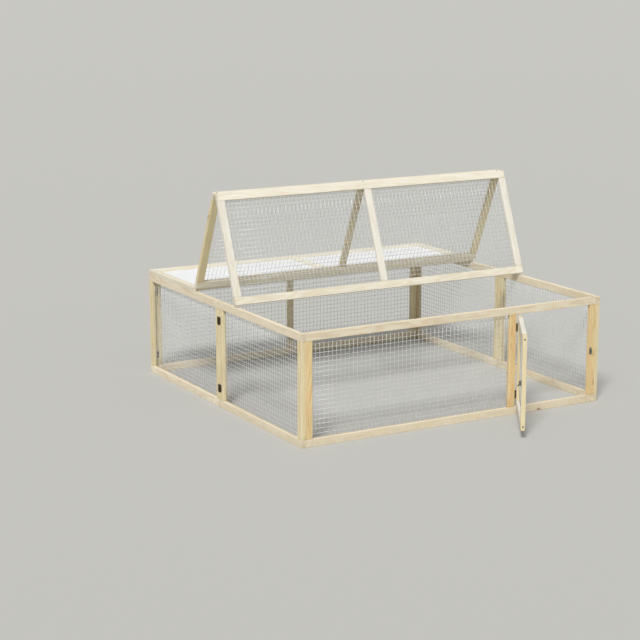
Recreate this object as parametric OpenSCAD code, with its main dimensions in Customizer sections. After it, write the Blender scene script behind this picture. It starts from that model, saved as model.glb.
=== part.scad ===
// Folding outdoor run for rabbits: pine frames with welded wire mesh, a door at the front and a
// three-part roof, drawn with the door open and the front two thirds of the roof drawn up into an A.
// The walls are measured from the outer face of the left wall (X), the outer face of the front wall
// (Y) and the ground (Z). The whole run is then set over the middle of the ground that it covers.

/* [Run] */
// Width over the two side walls
run_w = 1220; // [900:10:1600]
// Depth from the front wall's face to the back wall's face
run_d = 1200; // [900:6:1590]
// Height of the walls
wall_h = 386; // [300:2:600]
// Gap where the front and back walls meet the side walls
corner_gap = 0.5; // [0.3:0.1:2]
// Gap between the two halves of a side wall
middle_gap = 0.6; // [0.3:0.1:2]

/* [Timber] */
// Width of a batten, seen on the face of a frame
batten_w = 27; // [22:1:40]
// Thickness of a batten, which is the thickness of a wall
batten_t = 15; // [12:1:22]
// Depth of the groove that takes the mesh, and the boards of the rear roof panel
seat_w = 8; // [5:0.5:12]
// Wood left between the groove and the inner face
groove_back = 2.4; // [2:0.1:4]

/* [Wire mesh] */
// Distance from one wire to the next
mesh_pitch = 16; // [12:1:25]
// Diameter of a wire
wire_d = 1.2; // [0.9:0.1:1.6]
// Play of the two layers of wire in their groove
mesh_play = 0.2; // [0.1:0.1:1]
// Gap from the end of a wire to the bottom of its groove
wire_end_gap = 1; // [0.5:0.5:3]

/* [Door] */
// Width of the door
door_w = 316; // [200:2:400]
// Gap all round the closed door, which also takes the leaves of its hinges
door_gap = 3; // [3:0.5:5]
// Angle at which the door stands open
door_open = 123; // [0:1:170]

/* [Roof] */
// Gap between one roof panel and the next
roof_gap = 1; // [0.5:0.5:3]
// Air between the roof and the walls under it
roof_clear = 0.4; // [0.3:0.1:1]
// Angle of the middle panel above the level
roof_angle = 66.5; // [5:0.5:80]
// Angle of the middle panel at which the front panel slides on the walls
touch_angle = 45; // [30:1:60]
// Gap round each of the rear panel's two boards
board_gap = 0.5; // [0.3:0.1:2]

/* [Hinges] */
// Height of a hinge along its pin
hinge_h = 28; // [22:1:50]
// Width of a leaf from the pin to its outer edge
leaf_w = 13; // [9:1:15]
// Thickness of a leaf
leaf_t = 1.2; // [0.8:0.1:1.3]
// Radius of a knuckle, which is the pin's distance from the faces of the frames
knuckle_r = 2.2; // [2:0.1:4]
// Radius of a hinge pin
pin_r = 1.1; // [0.8:0.05:1.2]
// Play of a pin in its knuckle, on the radius
pin_play = 0.08; // [0.05:0.01:0.1]
// Play of the pin at the front right corner, where the ring of walls closes
closing_play = 0.3; // [0.2:0.05:0.4]
// Gap between two knuckles
knuckle_gap = 0.4; // [0.3:0.1:1]
// Distance from the top and the bottom of a frame to the middle of a hinge
hinge_inset = 70; // [50:5:120]
// Distance from the side of the roof to the middle of a roof hinge
roof_hinge_inset = 190; // [100:10:300]
// Radius of a pin's heads
head_r = 1.7; // [1.5:0.1:2]
// Height of a pin's heads
head_h = 0.8; // [0.5:0.1:2]
// Gap from a knuckle to the leaf beside it
leaf_gap = 0.3; // [0.3:0.1:1]
// Radius of the holes for the screws
screw_r = 1.5; // [1:0.1:1.6]

/* [Bolt] */
// Height of the bolt above the ground
bolt_z = 190; // [120:5:220]
// Radius of the bolt's rod
rod_r = 2.8; // [2:0.1:4]
// Length of the rod
rod_l = 40; // [32:1:60]
// Travel of the rod
bolt_travel = 13; // [10:0.5:13.5]
// Gap from the bolt, and from its keeper, to the edge of its stile
bolt_edge = 1; // [0.5:0.5:3]
// Play of the rod in its guides, on the radius
rod_play = 0.3; // [0.2:0.05:0.6]
// Wall of a guide
guide_wall = 1.3; // [1:0.1:2]
// Length of a guide along the rod
guide_l = 4; // [3:0.5:6]
// Thickness of the bolt's plates
plate_t = 1.2; // [0.8:0.1:2]
// Height of the bolt's plates
plate_h = 24; // [20:1:36]
// Width of the keeper
keeper_l = 10; // [8:1:14]
// Radius of the bolt's knob
knob_r = 2; // [1.5:0.1:2.2]
// Length of the knob from the rod to its round end
knob_l = 8; // [5:0.5:12]
// Radius of the knob's round end
ball_r = 2.8; // [2.2:0.1:3.5]
// How far the knob leans out from upright
knob_lean = 30; // [0:5:60]

/* [Hidden] */
over = 0.5;             // how far a cutter runs past what it cuts
round_fn = 32;          // sides of the knuckles, pins and rods
wire_fn = 16;           // sides of a wire
groove_d = 2 * wire_d + mesh_play;
groove_y = batten_t - groove_back - groove_d;       // the groove's outer side
mesh_reach = seat_w - wire_end_gap;
board_t = 2 * wire_d;
board_reach = seat_w - board_gap;

front_w = run_w - 2 * (batten_t + corner_gap);
front_x = batten_t + corner_gap;
stile_h = wall_h - 2 * batten_w;
half_l = (run_d - middle_gap) / 2;

post_x = front_w - 2 * batten_w - 2 * door_gap - door_w;     // in the front wall's own frame
door_h = stile_h - 2 * door_gap;
door_x = front_x + post_x + batten_w + door_gap;
door_z = batten_w + door_gap;
door_axis = [door_x - door_gap / 2, -knuckle_r, 0];

roof_l = (run_d - 2 * roof_gap) / 3;
roof_low = wall_h + roof_clear;
roof_top = roof_low + batten_t;
valley = [0, run_d - roof_l - roof_gap / 2, roof_top + knuckle_r];       // rear and middle panel
ridge = [0, run_d - 2 * roof_l - 1.5 * roof_gap, roof_low - knuckle_r];  // middle and front panel, laid flat
lid_axis = [0, run_d + knuckle_r, wall_h + roof_clear / 2];

// The front panel's lower edge slides on the side walls while the middle panel rises. slide_angle
// is its slope that just keeps it on them; the fold is geared so that it touches at touch_angle.
drop = batten_t + 2 * knuckle_r;                    // from the valley's pin to the ridge's pin
arm = roof_l + roof_gap;
run_out = roof_l + roof_gap / 2;
function slide_angle(rise) =
  asin((drop - knuckle_r + arm * sin(rise) - drop * cos(rise)) / norm([run_out, knuckle_r]))
  + atan(knuckle_r / run_out);
touch_slope = slide_angle(touch_angle);
gearing = (arm * cos(touch_angle) + drop * sin(touch_angle))
  / (run_out * cos(touch_slope) + knuckle_r * sin(touch_slope));
front_slope = touch_slope + gearing * (roof_angle - touch_angle);
roof_bend = roof_angle + front_slope;

knuckle_l = (hinge_h - 2 * knuckle_gap) / 3;
leaf_x = knuckle_r + leaf_gap;                      // where a leaf starts beside the other's knuckles
corner_leaf_w = min(leaf_w, batten_w - batten_t - knuckle_r - leaf_gap);

keeper_play = 2 * rod_play;
keeper_r = rod_r + keeper_play + guide_wall;        // outer radius of the keeper's ring
rod_y = max(keeper_r, plate_t + rod_play + rod_r);  // from the door's face to the rod's middle
bolt_l = 2 * guide_l + bolt_travel + 2 * knob_r + 2 * rod_play;
bolt_x = door_w - bolt_l - bolt_edge;               // in the door's own frame
rod_tip = 1;                                        // length of the rod's taper

// The ground that the run covers, with its open door and its rear hinges
door_reach = door_w + door_gap / 2;
door_front = door_axis[1] - door_reach * sin(door_open) + (knuckle_r + batten_t) * cos(door_open);
front_y = min(-2 * knuckle_r, door_front);
back_y = run_d + 2 * knuckle_r;
middle = [run_w / 2, (front_y + back_y) / 2, 0];

pine = "#e0cda6";
planed_pine = "#e6d6b4";
white = "#f3f3f5";
zinc = "#a9aeb0";
bronze = "#4b4238";
steel = "#84878a";

// ---- Battens and mesh, in a panel's own frame -------------------------------------------------
// A panel stands on z = 0 with its left edge on x = 0, its outer face on y = 0 and its inner face
// on y = batten_t. The wire lies in a groove round the frame's inner edge.

// A batten along +X with its outer edge on z = 0. Its groove runs from cut[0] to cut[1] along it.
module batten(length, cut) {
  difference() {
    cube([length, batten_t, batten_w]);
    if (cut[1] > cut[0])
      translate([cut[0], groove_y, batten_w - seat_w]) cube([cut[1] - cut[0], groove_d, seat_w + over]);
  }
}

// Upright battens: the right one ends at x = 0, the left one starts there
module right_stile(length, cut) { rotate([0, -90, 0]) batten(length, cut); }
module left_stile(length, cut) { mirror([1, 0, 0]) right_stile(length, cut); }

// A middle stile is thinner, so that a sheet of wire runs across behind it
module middle_stile(length) {
  cube([batten_w, groove_y, length]);
}

// Two through rails, w long and h apart over all
module rail_pair(w, h, cut) {
  batten(w, cut);
  translate([0, 0, h]) mirror([0, 0, 1]) batten(w, cut);
}

// The two end stiles between them
module stile_pair(w, h) {
  length = h - 2 * batten_w;
  translate([0, 0, batten_w]) left_stile(length, [-over, length + over]);
  translate([w, 0, batten_w]) right_stile(length, [-over, length + over]);
}

function frame_cut(w) = [batten_w - seat_w, w - batten_w + seat_w];

// Wires on a pitch, centred between a and b
function wire_places(a, b) =
  let (n = floor((b - a) / mesh_pitch), first = (a + b - n * mesh_pitch) / 2)
  [for (i = [0 : n]) first + i * mesh_pitch];

// A sheet of welded mesh over an opening from x0 to x1 and z0 to z1. The upright wires lie against
// the outer side of the groove and the level ones are welded on their inner side.
module mesh_sheet(x0, x1, z0, z1) {
  y = groove_y + wire_d / 2;
  inset = mesh_reach - wire_d / 2;
  color(zinc) {
    for (x = wire_places(x0 - inset, x1 + inset))
      translate([x, y, z0 - mesh_reach])
        cylinder(d = wire_d, h = z1 - z0 + 2 * mesh_reach, $fn = wire_fn);
    for (z = wire_places(z0 - inset, z1 + inset))
      translate([x0 - mesh_reach, y + wire_d, z]) rotate([0, 90, 0])
        cylinder(d = wire_d, h = x1 - x0 + 2 * mesh_reach, $fn = wire_fn);
  }
}

// The mesh of a whole frame
module frame_mesh(w, h) {
  mesh_sheet(batten_w, w - batten_w, batten_w, h - batten_w);
}

// ---- Where each panel stands ------------------------------------------------------------------
module on_run() { translate(-middle) children(); }
module mirrored() { translate([run_w, 0, 0]) mirror([1, 0, 0]) children(); }
module on_front() { on_run() translate([front_x, 0, 0]) children(); }
module on_back() { on_run() translate([front_x + front_w, run_d, 0]) rotate([0, 0, 180]) children(); }
module on_left_rear() { on_run() translate([0, run_d, 0]) rotate([0, 0, -90]) children(); }
module on_left_front() { on_run() translate([0, half_l, 0]) rotate([0, 0, -90]) children(); }
module on_right_rear() { on_run() mirrored() translate([0, run_d, 0]) rotate([0, 0, -90]) children(); }
module on_right_front() { on_run() mirrored() translate([0, half_l, 0]) rotate([0, 0, -90]) children(); }

// The door turns about its hinge axis. Its own frame has the closed door's lower left corner at 0.
module door_turn() {
  translate(door_axis) rotate([0, 0, -door_open]) translate(-door_axis) children();
}
module on_door() { on_run() door_turn() translate([door_x, 0, door_z]) children(); }

// A roof panel is laid down with its outer face up: its own z runs to the back of the run
module laid(y) { translate([0, y, roof_top]) rotate([-90, 0, 0]) children(); }
module turned(axis, angle) { translate(axis) rotate([angle, 0, 0]) translate(-axis) children(); }
module middle_turn() { turned(valley, -roof_angle) children(); }
module front_turn() { middle_turn() turned(ridge, roof_bend) children(); }
module on_roof_rear() { on_run() laid(run_d - roof_l) children(); }
module on_roof_middle() { on_run() middle_turn() laid(run_d - 2 * roof_l - roof_gap) children(); }
module on_roof_front() { on_run() front_turn() laid(0) children(); }

// ---- Front wall -------------------------------------------------------------------------------
front_cut = [batten_w - seat_w, post_x + seat_w];

module front_top_rail() {
  color(pine) on_front() translate([0, 0, wall_h]) mirror([0, 0, 1]) batten(front_w, front_cut);
}
module front_bottom_rail() {
  color(pine) on_front() batten(front_w, front_cut);
}
module front_left_stile() {
  color(pine) on_front() translate([0, 0, batten_w]) left_stile(stile_h, [-over, stile_h + over]);
}
module front_door_post() {
  color(pine) on_front() translate([post_x + batten_w, 0, batten_w])
    right_stile(stile_h, [-over, stile_h + over]);
}
module front_right_stile() {
  color(pine) on_front() translate([front_w, 0, batten_w]) right_stile(stile_h, [0, 0]);
}
module front_mesh() {
  on_front() mesh_sheet(batten_w, post_x, batten_w, wall_h - batten_w);
}

// ---- Door: its stiles run through and its rails stand between them -----------------------------
door_cut = [batten_w - seat_w, door_h - batten_w + seat_w];
door_rail_l = door_w - 2 * batten_w;

module door_hinge_stile() { color(pine) on_door() left_stile(door_h, door_cut); }
module door_latch_stile() { color(pine) on_door() translate([door_w, 0, 0]) right_stile(door_h, door_cut); }
module door_bottom_rail() {
  color(pine) on_door() translate([batten_w, 0, 0]) batten(door_rail_l, [-over, door_rail_l + over]);
}
module door_top_rail() {
  color(pine) on_door() translate([batten_w, 0, door_h]) mirror([0, 0, 1])
    batten(door_rail_l, [-over, door_rail_l + over]);
}
module door_mesh() { on_door() frame_mesh(door_w, door_h); }

// ---- Back wall --------------------------------------------------------------------------------
module back_top_rail() {
  color(pine) on_back() translate([0, 0, wall_h]) mirror([0, 0, 1]) batten(front_w, frame_cut(front_w));
}
module back_bottom_rail() { color(pine) on_back() batten(front_w, frame_cut(front_w)); }
module back_stiles() {
  color(pine) on_back() {
    stile_pair(front_w, wall_h);
    translate([(front_w - batten_w) / 2, 0, batten_w]) middle_stile(stile_h);
  }
}
module back_mesh() { on_back() frame_mesh(front_w, wall_h); }

// ---- Side walls: four like panels ---------------------------------------------------------------
module half_rails() { color(pine) rail_pair(half_l, wall_h, frame_cut(half_l)); }
module half_stiles() { color(pine) stile_pair(half_l, wall_h); }
module half_mesh() { frame_mesh(half_l, wall_h); }

module left_rear_rails() { on_left_rear() half_rails(); }
module left_rear_stiles() { on_left_rear() half_stiles(); }
module left_rear_mesh() { on_left_rear() half_mesh(); }
module left_front_rails() { on_left_front() half_rails(); }
module left_front_stiles() { on_left_front() half_stiles(); }
module left_front_mesh() { on_left_front() half_mesh(); }
module right_rear_rails() { on_right_rear() half_rails(); }
module right_rear_stiles() { on_right_rear() half_stiles(); }
module right_rear_mesh() { on_right_rear() half_mesh(); }
module right_front_rails() { on_right_front() half_rails(); }
module right_front_stiles() { on_right_front() half_stiles(); }
module right_front_mesh() { on_right_front() half_mesh(); }

// ---- Roof: two mesh panels and a boarded one ----------------------------------------------------
module roof_stiles() {
  stile_pair(run_w, roof_l);
  translate([(run_w - batten_w) / 2, 0, batten_w]) middle_stile(roof_l - 2 * batten_w);
}
module roof_rails() { rail_pair(run_w, roof_l, frame_cut(run_w)); }

module roof_middle_rails() { color(planed_pine) on_roof_middle() roof_rails(); }
module roof_middle_stiles() { color(planed_pine) on_roof_middle() roof_stiles(); }
module roof_middle_mesh() { on_roof_middle() frame_mesh(run_w, roof_l); }
module roof_front_rails() { color(planed_pine) on_roof_front() roof_rails(); }
module roof_front_stiles() { color(planed_pine) on_roof_front() roof_stiles(); }
module roof_front_mesh() { on_roof_front() frame_mesh(run_w, roof_l); }

module roof_rear_rails() { color(planed_pine) on_roof_rear() roof_rails(); }
module roof_rear_stiles() { color(planed_pine) on_roof_rear() roof_stiles(); }

// The rear panel has two boards in its groove, which meet behind the middle stile
module board(x) {
  length = run_w / 2 - batten_w + board_reach - board_gap / 2;
  color(white) on_roof_rear() translate([x, groove_y + mesh_play / 2, batten_w - board_reach])
    cube([length, board_t, roof_l - 2 * (batten_w - board_reach)]);
}
module roof_board_left() { board(batten_w - board_reach); }
module roof_board_right() { board((run_w + board_gap) / 2); }

// ---- Hinges -----------------------------------------------------------------------------------
// A hinge's pin stands on the Z axis. Its leaf lies on the wood at y = -seat and reaches to +X.
module leaf(middle_knuckle = false, play = pin_play, w = leaf_w, seat = knuckle_r) {
  step = knuckle_l + knuckle_gap;
  color(bronze) difference() {
    union() {
      translate([leaf_x, -seat, -hinge_h / 2]) cube([w - leaf_x, leaf_t, hinge_h]);
      for (z = middle_knuckle ? [0] : [-step, step])
        translate([0, 0, z - knuckle_l / 2]) {
          cylinder(r = knuckle_r, h = knuckle_l, $fn = round_fn);
          translate([0, -seat, 0]) cube([leaf_x + over, leaf_t, knuckle_l]);
        }
    }
    translate([0, 0, -hinge_h]) cylinder(r = pin_r + play, h = 2 * hinge_h, $fn = round_fn);
    for (z = [-1, 1] * hinge_h / 4)
      translate([(leaf_x + w) / 2, -seat - over, z]) rotate([-90, 0, 0])
        cylinder(r = screw_r, h = leaf_t + 2 * over, $fn = round_fn);
  }
}

// A pin with its two riveted heads
module pin() {
  color(bronze) {
    translate([0, 0, -hinge_h / 2 - over]) cylinder(r = pin_r, h = hinge_h + 2 * over, $fn = round_fn);
    for (z = [-1, 1] * (hinge_h + head_h) / 2)
      translate([0, 0, z]) cylinder(r = head_r, h = head_h, center = true, $fn = round_fn);
  }
}

module two_high() { for (z = [hinge_inset, wall_h - hinge_inset]) translate([0, 0, z]) children(); }
module two_wide() { for (x = [roof_hinge_inset, run_w - roof_hinge_inset]) translate([x, 0, 0]) children(); }
module both_sides() { children(); mirrored() children(); }

// Axes of the left wall's hinges; the right wall's are their mirror images
module at_back_corner() {
  translate([batten_t + knuckle_r, run_d - batten_t - knuckle_r, 0]) two_high() children();
}
module at_side_middle() { translate([-knuckle_r, run_d / 2, 0]) two_high() children(); }
module at_front_corner() {
  translate([batten_t + knuckle_r, batten_t + knuckle_r, 0]) two_high() children();
}
module at_lid() { translate(lid_axis) two_wide() children(); }
module at_valley() { translate(valley) two_wide() children(); }
module at_ridge() { translate(ridge) two_wide() children(); }
module at_door() {
  for (z = [door_z + hinge_inset - batten_w, door_z + door_h - hinge_inset + batten_w])
    translate([door_axis[0], door_axis[1], z]) children();
}
module flipped() { rotate([180, 0, 0]) children(); }

// A corner leaf is narrower, to stay on the wood of a side wall
module corner_leaf(middle_knuckle = false, play = pin_play) {
  leaf(middle_knuckle, play, corner_leaf_w);
}

// A door leaf lies in the gap, on the edge of its stile
module door_leaf(middle_knuckle = false) {
  leaf(middle_knuckle, pin_play, leaf_w, door_gap / 2);
}

module rear_half_leaves() {
  at_back_corner() rotate([0, 0, -90]) corner_leaf(true);
  at_side_middle() rotate([0, 0, 90]) leaf();
}
module front_half_leaves() {
  at_side_middle() rotate([0, 0, -90]) flipped() leaf(true);
  at_front_corner() rotate([0, 0, 90]) flipped() corner_leaf();
}

module back_hinge_leaves() {
  on_run() {
    both_sides() at_back_corner() flipped() corner_leaf();
    at_lid() rotate([0, 90, 0]) leaf();
  }
}
module left_rear_hinge_leaves() { on_run() rear_half_leaves(); }
module right_rear_hinge_leaves() { on_run() mirrored() rear_half_leaves(); }
module left_front_hinge_leaves() { on_run() front_half_leaves(); }
module right_front_hinge_leaves() { on_run() mirrored() front_half_leaves(); }
module front_hinge_leaves() {
  on_run() {
    at_front_corner() corner_leaf(true);
    mirrored() at_front_corner() corner_leaf(true, closing_play);
    at_door() rotate([0, 0, 90]) flipped() door_leaf();
  }
}
module door_hinge_leaves() { on_run() door_turn() at_door() rotate([0, 0, 90]) door_leaf(true); }
module roof_rear_hinge_leaves() {
  on_run() {
    at_lid() rotate([0, -90, 0]) leaf(true);
    at_valley() rotate([90, 0, 90]) leaf();
  }
}
module roof_middle_hinge_leaves() {
  on_run() middle_turn() {
    at_valley() rotate([90, 0, -90]) leaf(true);
    at_ridge() rotate([-90, 0, 90]) leaf();
  }
}
module roof_front_hinge_leaves() { on_run() front_turn() at_ridge() rotate([-90, 0, -90]) leaf(true); }

module back_hinge_pins() {
  on_run() {
    both_sides() at_back_corner() pin();
    at_lid() rotate([0, 90, 0]) pin();
  }
}
module left_rear_hinge_pins() { on_run() at_side_middle() pin(); }
module right_rear_hinge_pins() { on_run() mirrored() at_side_middle() pin(); }
module left_front_hinge_pins() { on_run() at_front_corner() pin(); }
module right_front_hinge_pins() { on_run() mirrored() at_front_corner() pin(); }
module door_hinge_pins() { on_run() at_door() pin(); }
module roof_rear_hinge_pins() { on_run() at_valley() rotate([0, 90, 0]) pin(); }
module roof_middle_hinge_pins() { on_run() middle_turn() at_ridge() rotate([0, 90, 0]) pin(); }

// ---- Barrel bolt on the door's outer face, and its keeper on the front wall ----------------------
// A guide from x = 0: a plate foot with a ring over the rod, whose middle is on y = -rod_y
module guide(length, play) {
  r = rod_r + play + guide_wall;
  difference() {
    union() {
      translate([0, -rod_y, 0]) rotate([0, 90, 0]) cylinder(r = r, h = length, $fn = round_fn);
      translate([0, -rod_y, -r]) cube([length, rod_y, 2 * r]);
    }
    translate([-over, -rod_y, 0]) rotate([0, 90, 0])
      cylinder(r = rod_r + play, h = length + 2 * over, $fn = round_fn);
  }
}

module plate(length) {
  difference() {
    translate([0, -plate_t, -plate_h / 2]) cube([length, plate_t, plate_h]);
    for (x = [length / 4, length * 3 / 4], z = [-1, 1] * (plate_h / 2 - 2 * screw_r))
      translate([x, -plate_t - over, z]) rotate([-90, 0, 0])
        cylinder(r = min(screw_r, length / 8), h = plate_t + 2 * over, $fn = round_fn);
  }
}

module bolt_plate() {
  color(steel) on_door() translate([bolt_x, 0, bolt_z - door_z]) {
    plate(bolt_l);
    guide(guide_l, rod_play);
    translate([bolt_l - guide_l, 0, 0]) guide(guide_l, rod_play);
  }
}
module bolt_rod() {
  color(steel) on_door() translate([bolt_x + bolt_l - rod_l, -rod_y, bolt_z - door_z]) {
    rotate([0, 90, 0]) {
      cylinder(r = rod_r, h = rod_l - rod_tip, $fn = round_fn);
      translate([0, 0, rod_l - rod_tip])
        cylinder(r1 = rod_r, r2 = rod_r - rod_tip, h = rod_tip, $fn = round_fn);
    }
    translate([rod_l - bolt_l + guide_l + knob_r + rod_play, 0, 0]) rotate([180 - knob_lean, 0, 0]) {
      cylinder(r = knob_r, h = rod_r + knob_l, $fn = round_fn);
      translate([0, 0, rod_r + knob_l]) sphere(r = ball_r, $fn = round_fn);
    }
  }
}
module bolt_keeper() {
  color(steel) on_front() translate([front_w - batten_w + bolt_edge, 0, bolt_z]) {
    plate(keeper_l);
    translate([(keeper_l - guide_l) / 2, 0, 0]) guide(guide_l, keeper_play);
  }
}

front_top_rail();
front_bottom_rail();
front_left_stile();
front_door_post();
front_right_stile();
front_mesh();
door_hinge_stile();
door_latch_stile();
door_bottom_rail();
door_top_rail();
door_mesh();
back_top_rail();
back_bottom_rail();
back_stiles();
back_mesh();
left_rear_rails();
left_rear_stiles();
left_rear_mesh();
left_front_rails();
left_front_stiles();
left_front_mesh();
right_rear_rails();
right_rear_stiles();
right_rear_mesh();
right_front_rails();
right_front_stiles();
right_front_mesh();
roof_rear_rails();
roof_rear_stiles();
roof_board_left();
roof_board_right();
roof_middle_rails();
roof_middle_stiles();
roof_middle_mesh();
roof_front_rails();
roof_front_stiles();
roof_front_mesh();
back_hinge_leaves();
left_rear_hinge_leaves();
right_rear_hinge_leaves();
left_front_hinge_leaves();
right_front_hinge_leaves();
front_hinge_leaves();
door_hinge_leaves();
roof_rear_hinge_leaves();
roof_middle_hinge_leaves();
roof_front_hinge_leaves();
back_hinge_pins();
left_rear_hinge_pins();
right_rear_hinge_pins();
left_front_hinge_pins();
right_front_hinge_pins();
door_hinge_pins();
roof_rear_hinge_pins();
roof_middle_hinge_pins();
bolt_plate();
bolt_rod();
bolt_keeper();
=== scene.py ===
"""Looks of the folding rabbit run: rounded and grained pine battens, welded wire, painted boards,
hinges with screws, and the light, floor and camera. Angles are in degrees, and lengths in
millimetres until a piece is placed. A panel's own frame has its lower left corner at 0, its outer
face on y = 0 and z upwards.
"""
import itertools
import math

import bpy
import numpy as np
from mathutils import Matrix


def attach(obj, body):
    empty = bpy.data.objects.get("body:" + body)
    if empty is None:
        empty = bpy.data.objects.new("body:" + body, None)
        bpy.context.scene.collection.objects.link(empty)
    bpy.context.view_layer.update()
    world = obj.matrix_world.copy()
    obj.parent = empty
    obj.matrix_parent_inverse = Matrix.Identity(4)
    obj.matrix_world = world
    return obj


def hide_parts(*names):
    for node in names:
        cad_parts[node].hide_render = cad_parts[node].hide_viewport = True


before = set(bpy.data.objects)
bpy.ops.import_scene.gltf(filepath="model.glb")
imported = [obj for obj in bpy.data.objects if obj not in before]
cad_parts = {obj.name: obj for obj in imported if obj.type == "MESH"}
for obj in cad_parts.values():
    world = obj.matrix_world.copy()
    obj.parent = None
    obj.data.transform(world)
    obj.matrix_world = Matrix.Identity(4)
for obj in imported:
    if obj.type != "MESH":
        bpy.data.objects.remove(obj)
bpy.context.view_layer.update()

# ---- Sizes, as in the construction ---------------------------------------------------------------
MM_PER_M = 1000
RUN_W, RUN_D, WALL_H = 1220, 1200, 386
CORNER_GAP, MIDDLE_GAP = 0.5, 0.6
BATTEN_W, BATTEN_T, SEAT = 27, 15, 8
PITCH, WIRE_R = 16, 0.6
GROOVE = (10.0, 12.6)
MESH_REACH = 7
DOOR_W, DOOR_GAP, DOOR_OPEN = 316, 3, 123
ROOF_GAP, ROOF_CLEAR, ROOF_ANGLE, TOUCH_ANGLE = 1, 0.4, 66.5, 45
BOARD_T, BOARD_GAP, BOARD_REACH = 2.4, 0.5, 7.5
HINGE_H, LEAF_W, LEAF_T = 28, 13, 1.2
KNUCKLE_R, PIN_R, PIN_BORE, CLOSING_BORE = 2.2, 1.1, 1.18, 1.4
KNUCKLE_GAP, LEAF_GAP, HINGE_INSET, ROOF_HINGE_INSET = 0.4, 0.3, 70, 190
HEAD_R, HEAD_H = 1.7, 0.8
BOLT_Z, BOLT_L, BOLT_EDGE, PLATE_T, PLATE_H, KEEPER_L = 190, 25.6, 1, 1.2, 24, 10
PLATE_SCREW_Z = PLATE_H / 2 - 3

FRONT_X = BATTEN_T + CORNER_GAP
FRONT_W = RUN_W - 2 * FRONT_X
STILE_H = WALL_H - 2 * BATTEN_W
HALF_L = (RUN_D - MIDDLE_GAP) / 2
POST_X = FRONT_W - 2 * BATTEN_W - 2 * DOOR_GAP - DOOR_W
DOOR_H = STILE_H - 2 * DOOR_GAP
DOOR_X = FRONT_X + POST_X + BATTEN_W + DOOR_GAP
DOOR_Z = BATTEN_W + DOOR_GAP
DOOR_AXIS = (DOOR_X - DOOR_GAP / 2, -KNUCKLE_R, 0)
ROOF_L = (RUN_D - 2 * ROOF_GAP) / 3
ROOF_LOW = WALL_H + ROOF_CLEAR
ROOF_TOP = ROOF_LOW + BATTEN_T
VALLEY = (0, RUN_D - ROOF_L - ROOF_GAP / 2, ROOF_TOP + KNUCKLE_R)
RIDGE = (0, RUN_D - 2 * ROOF_L - 1.5 * ROOF_GAP, ROOF_LOW - KNUCKLE_R)
LID_AXIS = (0, RUN_D + KNUCKLE_R, WALL_H + ROOF_CLEAR / 2)
LEAF_X = KNUCKLE_R + LEAF_GAP
CORNER_LEAF_W = BATTEN_W - BATTEN_T - LEAF_X
KNUCKLE_L = (HINGE_H - 2 * KNUCKLE_GAP) / 3


def roof_bend():
    """Angle between the two drawn-up roof panels: the front one's slope grows in a fixed ratio to
    the middle one's, so that its lower edge touches the walls at TOUCH_ANGLE."""
    drop, arm, out = BATTEN_T + 2 * KNUCKLE_R, ROOF_L + ROOF_GAP, ROOF_L + ROOF_GAP / 2
    a = math.radians(TOUCH_ANGLE)
    rise = drop - KNUCKLE_R + arm * math.sin(a) - drop * math.cos(a)
    slope = math.asin(rise / math.hypot(out, KNUCKLE_R)) + math.atan(KNUCKLE_R / out)
    gearing = (arm * math.cos(a) + drop * math.sin(a)) / (
        out * math.cos(slope) + KNUCKLE_R * math.sin(slope))
    return ROOF_ANGLE + math.degrees(slope) + gearing * (ROOF_ANGLE - TOUCH_ANGLE)


# ---- Places --------------------------------------------------------------------------------------
def move(x, y, z):
    m = np.eye(4)
    m[:3, 3] = x, y, z
    return m


def turn(axis, angle):
    i, j = {"x": (1, 2), "y": (2, 0), "z": (0, 1)}[axis]
    c, s = math.cos(math.radians(angle)), math.sin(math.radians(angle))
    m = np.eye(4)
    m[i, i] = m[j, j] = c
    m[i, j], m[j, i] = -s, s
    return m


def about(point, m):
    """The turn m, made about a point."""
    x, y, z = point
    return move(x, y, z) @ m @ move(-x, -y, -z)


DOOR_REACH = DOOR_W + DOOR_GAP / 2
OPEN = math.radians(DOOR_OPEN)
DOOR_FRONT = DOOR_AXIS[1] - DOOR_REACH * math.sin(OPEN) + (KNUCKLE_R + BATTEN_T) * math.cos(OPEN)
RUN = np.diag([1 / MM_PER_M] * 3 + [1]) @ move(
    -RUN_W / 2, -(DOOR_FRONT + RUN_D + 2 * KNUCKLE_R) / 2, 0)
MIRROR = move(RUN_W, 0, 0) @ np.diag([-1.0, 1, 1, 1])


def laid(y):
    """A roof panel laid flat on the walls, its front edge at y."""
    return move(0, y, ROOF_TOP) @ turn("x", -90)


DOOR_TURN = about(DOOR_AXIS, turn("z", -DOOR_OPEN))
MIDDLE_TURN = about(VALLEY, turn("x", -ROOF_ANGLE))
FRONT_TURN = MIDDLE_TURN @ about(RIDGE, turn("x", roof_bend()))

FRONT = RUN @ move(FRONT_X, 0, 0)
BACK = RUN @ move(FRONT_X + FRONT_W, RUN_D, 0) @ turn("z", 180)
DOOR = RUN @ DOOR_TURN @ move(DOOR_X, 0, DOOR_Z)
SIDES = {
    "left_rear": RUN @ move(0, RUN_D, 0) @ turn("z", -90),
    "left_front": RUN @ move(0, HALF_L, 0) @ turn("z", -90),
    "right_rear": RUN @ move(RUN_W, RUN_D - HALF_L, 0) @ turn("z", 90),
    "right_front": RUN @ move(RUN_W, 0, 0) @ turn("z", 90),
}
ROOF_REAR = RUN @ laid(RUN_D - ROOF_L)
ROOF_MIDDLE = RUN @ MIDDLE_TURN @ laid(RUN_D - 2 * ROOF_L - ROOF_GAP)
ROOF_FRONT = RUN @ FRONT_TURN @ laid(0)


def rail_low(x=0):
    """A batten lying along the lower edge of a panel."""
    return move(x, 0, 0)


def rail_high(right, h):
    """A batten along the upper edge, turned end for end; right is where it starts."""
    return move(right, 0, h) @ turn("y", 180)


def stile_right(x, z):
    """An upright whose outer edge is its right one, at x."""
    return move(x, 0, z) @ turn("y", -90)


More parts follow.
